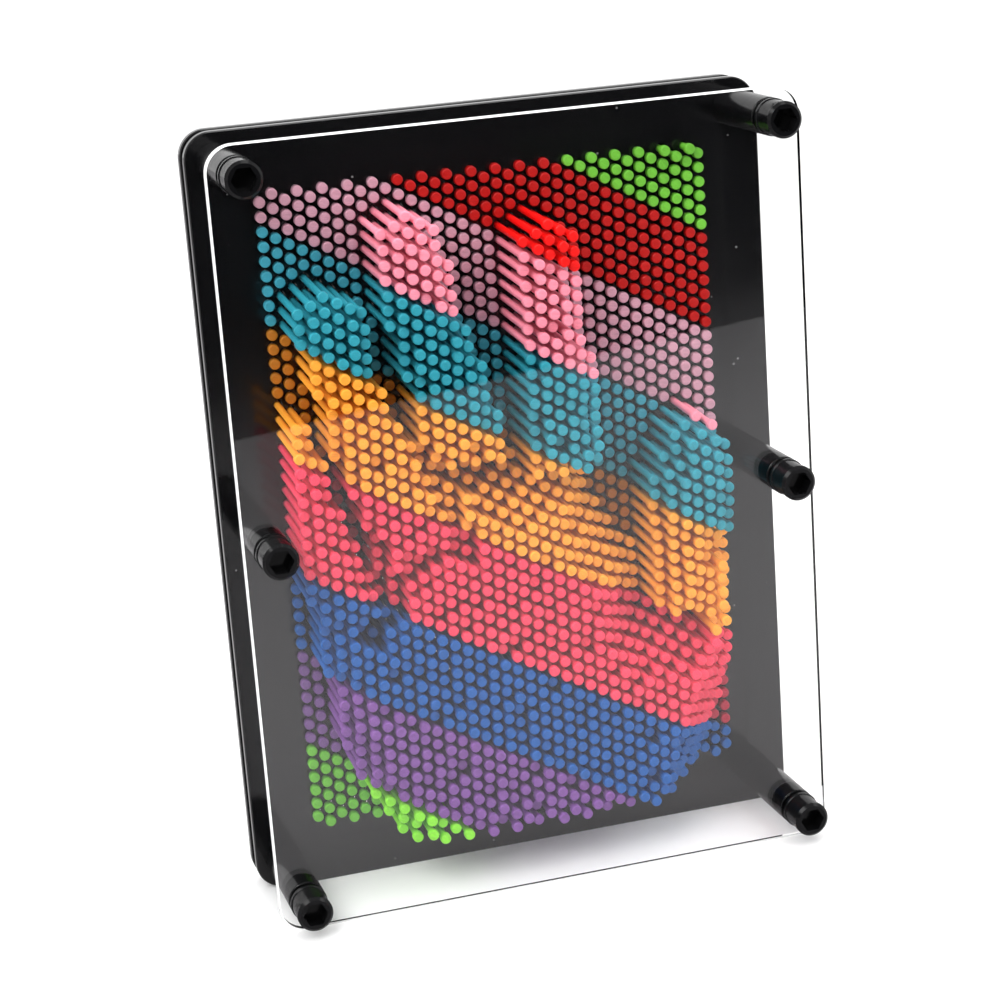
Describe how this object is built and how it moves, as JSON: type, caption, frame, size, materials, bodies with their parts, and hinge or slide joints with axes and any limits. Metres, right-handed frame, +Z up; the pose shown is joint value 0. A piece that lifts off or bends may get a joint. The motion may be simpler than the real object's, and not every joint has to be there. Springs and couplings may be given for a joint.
{
  "type": "pin art impression toy",
  "caption": "Upright pin art toy: clear front plate, two perforated black plates on round posts, and coloured pins that slide to hold the shape of a hand.",
  "frame": {"origin": "the middle of the footprint, on the surface that the plates' lower edges stand on", "axes": "+X to the right as seen from the clear front plate, +Y from the clear plate to the pins' tails, +Z up along the plates' long sides"},
  "size_m": [0.15, 0.0735, 0.2],
  "materials": {
    "clear_acrylic": "polished clear acrylic",
    "black_plate": "glossy black acrylic",
    "black_cap": "glossy moulded black",
    "black_tube": "glossy moulded black",
    "black_bolt": "black satin",
    "green_pins": "satin moulded plastic",
    "red_pins": "satin moulded plastic",
    "pink_pins": "satin moulded plastic",
    "teal_pins": "satin moulded plastic",
    "orange_pins": "satin moulded plastic",
    "rose_pins": "satin moulded plastic",
    "blue_pins": "satin moulded plastic",
    "purple_pins": "satin moulded plastic"
  },
  "bodies": {
    "frame": {"clear_front_plate": "clear_acrylic", "pin_plate": "black_plate", "back_plate": "black_plate", "front_cap_top_left": "black_cap", "long_spacer_top_left": "black_tube", "guide_spacer_top_left": "black_tube", "post_bolt_top_left": "black_bolt", "front_cap_top_right": "black_cap", "long_spacer_top_right": "black_tube", "guide_spacer_top_right": "black_tube", "post_bolt_top_right": "black_bolt", "front_cap_middle_left": "black_cap", "long_spacer_middle_left": "black_tube", "guide_spacer_middle_left": "black_tube", "post_bolt_middle_left": "black_bolt", "front_cap_middle_right": "black_cap", "long_spacer_middle_right": "black_tube", "guide_spacer_middle_right": "black_tube", "post_bolt_middle_right": "black_bolt", "front_cap_bottom_left": "black_cap", "long_spacer_bottom_left": "black_tube", "guide_spacer_bottom_left": "black_tube", "post_bolt_bottom_left": "black_bolt", "front_cap_bottom_right": "black_cap", "long_spacer_bottom_right": "black_tube", "guide_spacer_bottom_right": "black_tube", "post_bolt_bottom_right": "black_bolt"},
    "pins_blue_flush": {"pins_blue_flush": "blue_pins"},
    "pins_blue_little_finger": {"pins_blue_little_finger": "blue_pins"},
    "pins_blue_palm": {"pins_blue_palm": "blue_pins"},
    "pins_blue_slope": {"pins_blue_slope": "blue_pins"},
    "pins_green_flush": {"pins_green_flush": "green_pins"},
    "pins_green_palm": {"pins_green_palm": "green_pins"},
    "pins_orange_flush": {"pins_orange_flush": "orange_pins"},
    "pins_orange_index_finger": {"pins_orange_index_finger": "orange_pins"},
    "pins_orange_little_finger": {"pins_orange_little_finger": "orange_pins"},
    "pins_orange_middle_finger": {"pins_orange_middle_finger": "orange_pins"},
    "pins_orange_palm": {"pins_orange_palm": "orange_pins"},
    "pins_orange_ring_finger": {"pins_orange_ring_finger": "orange_pins"},
    "pins_orange_slope": {"pins_orange_slope": "orange_pins"},
    "pins_orange_thumb": {"pins_orange_thumb": "orange_pins"},
    "pins_pink_flush": {"pins_pink_flush": "pink_pins"},
    "pins_pink_index_finger": {"pins_pink_index_finger": "pink_pins"},
    "pins_pink_middle_finger": {"pins_pink_middle_finger": "pink_pins"},
    "pins_pink_thumb": {"pins_pink_thumb": "pink_pins"},
    "pins_purple_flush": {"pins_purple_flush": "purple_pins"},
    "pins_purple_palm": {"pins_purple_palm": "purple_pins"},
    "pins_red_flush": {"pins_red_flush": "red_pins"},
    "pins_red_index_finger": {"pins_red_index_finger": "red_pins"},
    "pins_rose_flush": {"pins_rose_flush": "rose_pins"},
    "pins_rose_little_finger": {"pins_rose_little_finger": "rose_pins"},
    "pins_rose_palm": {"pins_rose_palm": "rose_pins"},
    "pins_rose_ring_finger": {"pins_rose_ring_finger": "rose_pins"},
    "pins_rose_slope": {"pins_rose_slope": "rose_pins"},
    "pins_teal_flush": {"pins_teal_flush": "teal_pins"},
    "pins_teal_index_finger": {"pins_teal_index_finger": "teal_pins"},
    "pins_teal_middle_finger": {"pins_teal_middle_finger": "teal_pins"},
    "pins_teal_ring_finger": {"pins_teal_ring_finger": "teal_pins"},
    "pins_teal_slope": {"pins_teal_slope": "teal_pins"},
    "pins_teal_thumb": {"pins_teal_thumb": "teal_pins"}
  },
  "joints": [
    {"name": "pins_blue_flush_slide", "type": "slide", "parent": "frame", "child": "pins_blue_flush", "axis": [-0.0244, -0.999, -0.0384], "range_m": [0, 0.02403]},
    {"name": "pins_blue_little_finger_slide", "type": "slide", "parent": "frame", "child": "pins_blue_little_finger", "axis": [-0.0244, -0.999, -0.0384], "range_m": [-0.02032, 0.00008]},
    {"name": "pins_blue_palm_slide", "type": "slide", "parent": "frame", "child": "pins_blue_palm", "axis": [-0.0244, -0.999, -0.0384], "range_m": [-0.01228, 0.00001]},
    {"name": "pins_blue_slope_slide", "type": "slide", "parent": "frame", "child": "pins_blue_slope", "axis": [-0.0244, -0.999, -0.0384], "range_m": [-0.00208, 0.01259]},
    {"name": "pins_green_flush_slide", "type": "slide", "parent": "frame", "child": "pins_green_flush", "axis": [-0.0244, -0.999, -0.0384], "range_m": [0, 0.02103]},
    {"name": "pins_green_palm_slide", "type": "slide", "parent": "frame", "child": "pins_green_palm", "axis": [-0.0244, -0.999, -0.0384], "range_m": [-0.0161, 0.00065]},
    {"name": "pins_orange_flush_slide", "type": "slide", "parent": "frame", "child": "pins_orange_flush", "axis": [-0.0244, -0.999, -0.0384], "range_m": [0, 0.02403]},
    {"name": "pins_orange_index_finger_slide", "type": "slide", "parent": "frame", "child": "pins_orange_index_finger", "axis": [-0.0244, -0.999, -0.0384], "range_m": [-0.02004, 0.00163]},
    {"name": "pins_orange_little_finger_slide", "type": "slide", "parent": "frame", "child": "pins_orange_little_finger", "axis": [-0.0244, -0.999, -0.0384], "range_m": [-0.0176, 0.00122]},
    {"name": "pins_orange_middle_finger_slide", "type": "slide", "parent": "frame", "child": "pins_orange_middle_finger", "axis": [-0.0244, -0.999, -0.0384], "range_m": [-0.01437, 0.00022]},
    {"name": "pins_orange_palm_slide", "type": "slide", "parent": "frame", "child": "pins_orange_palm", "axis": [-0.0244, -0.999, -0.0384], "range_m": [-0.01221, 0.00001]},
    {"name": "pins_orange_ring_finger_slide", "type": "slide", "parent": "frame", "child": "pins_orange_ring_finger", "axis": [-0.0244, -0.999, -0.0384], "range_m": [-0.01247, 0]},
    {"name": "pins_orange_slope_slide", "type": "slide", "parent": "frame", "child": "pins_orange_slope", "axis": [-0.0244, -0.999, -0.0384], "range_m": [-0.00304, 0.01212]},
    {"name": "pins_orange_thumb_slide", "type": "slide", "parent": "frame", "child": "pins_orange_thumb", "axis": [-0.0244, -0.999, -0.0384], "range_m": [-0.015, 0.00002]},
    {"name": "pins_pink_flush_slide", "type": "slide", "parent": "frame", "child": "pins_pink_flush", "axis": [-0.0244, -0.999, -0.0384], "range_m": [0, 0.02403]},
    {"name": "pins_pink_index_finger_slide", "type": "slide", "parent": "frame", "child": "pins_pink_index_finger", "axis": [-0.0244, -0.999, -0.0384], "range_m": [-0.01989, 0.00003]},
    {"name": "pins_pink_middle_finger_slide", "type": "slide", "parent": "frame", "child": "pins_pink_middle_finger", "axis": [-0.0244, -0.999, -0.0384], "range_m": [-0.01914, 0.00002]},
    {"name": "pins_pink_thumb_slide", "type": "slide", "parent": "frame", "child": "pins_pink_thumb", "axis": [-0.0244, -0.999, -0.0384], "range_m": [-0.01556, 0.00519]},
    {"name": "pins_purple_flush_slide", "type": "slide", "parent": "frame", "child": "pins_purple_flush", "axis": [-0.0244, -0.999, -0.0384], "range_m": [0, 0.02403]},
    {"name": "pins_purple_palm_slide", "type": "slide", "parent": "frame", "child": "pins_purple_palm", "axis": [-0.0244, -0.999, -0.0384], "range_m": [-0.01612, 0]},
    {"name": "pins_red_flush_slide", "type": "slide", "parent": "frame", "child": "pins_red_flush", "axis": [-0.0244, -0.999, -0.0384], "range_m": [0, 0.02403]},
    {"name": "pins_red_index_finger_slide", "type": "slide", "parent": "frame", "child": "pins_red_index_finger", "axis": [-0.0244, -0.999, -0.0384], "range_m": [-0.02117, 0.00019]},
    {"name": "pins_rose_flush_slide", "type": "slide", "parent": "frame", "child": "pins_rose_flush", "axis": [-0.0244, -0.999, -0.0384], "range_m": [0, 0.02403]},
    {"name": "pins_rose_little_finger_slide", "type": "slide", "parent": "frame", "child": "pins_rose_little_finger", "axis": [-0.0244, -0.999, -0.0384], "range_m": [-0.01517, 0.00005]},
    {"name": "pins_rose_palm_slide", "type": "slide", "parent": "frame", "child": "pins_rose_palm", "axis": [-0.0244, -0.999, -0.0384], "range_m": [-0.01241, 0]},
    {"name": "pins_rose_ring_finger_slide", "type": "slide", "parent": "frame", "child": "pins_rose_ring_finger", "axis": [-0.0244, -0.999, -0.0384], "range_m": [-0.01268, 0.0008]},
    {"name": "pins_rose_slope_slide", "type": "slide", "parent": "frame", "child": "pins_rose_slope", "axis": [-0.0244, -0.999, -0.0384], "range_m": [-0.00292, 0.01286]},
    {"name": "pins_teal_flush_slide", "type": "slide", "parent": "frame", "child": "pins_teal_flush", "axis": [-0.0244, -0.999, -0.0384], "range_m": [0, 0.02403]},
    {"name": "pins_teal_index_finger_slide", "type": "slide", "parent": "frame", "child": "pins_teal_index_finger", "axis": [-0.0244, -0.999, -0.0384], "range_m": [-0.01955, 0.00004]},
    {"name": "pins_teal_middle_finger_slide", "type": "slide", "parent": "frame", "child": "pins_teal_middle_finger", "axis": [-0.0244, -0.999, -0.0384], "range_m": [-0.02016, 0.00004]},
    {"name": "pins_teal_ring_finger_slide", "type": "slide", "parent": "frame", "child": "pins_teal_ring_finger", "axis": [-0.0244, -0.999, -0.0384], "range_m": [-0.01913, 0]},
    {"name": "pins_teal_slope_slide", "type": "slide", "parent": "frame", "child": "pins_teal_slope", "axis": [-0.0244, -0.999, -0.0384], "range_m": [-0.00206, 0.01842]},
    {"name": "pins_teal_thumb_slide", "type": "slide", "parent": "frame", "child": "pins_teal_thumb", "axis": [-0.0244, -0.999, -0.0384], "range_m": [-0.01603, 0.00002]}
  ]
}
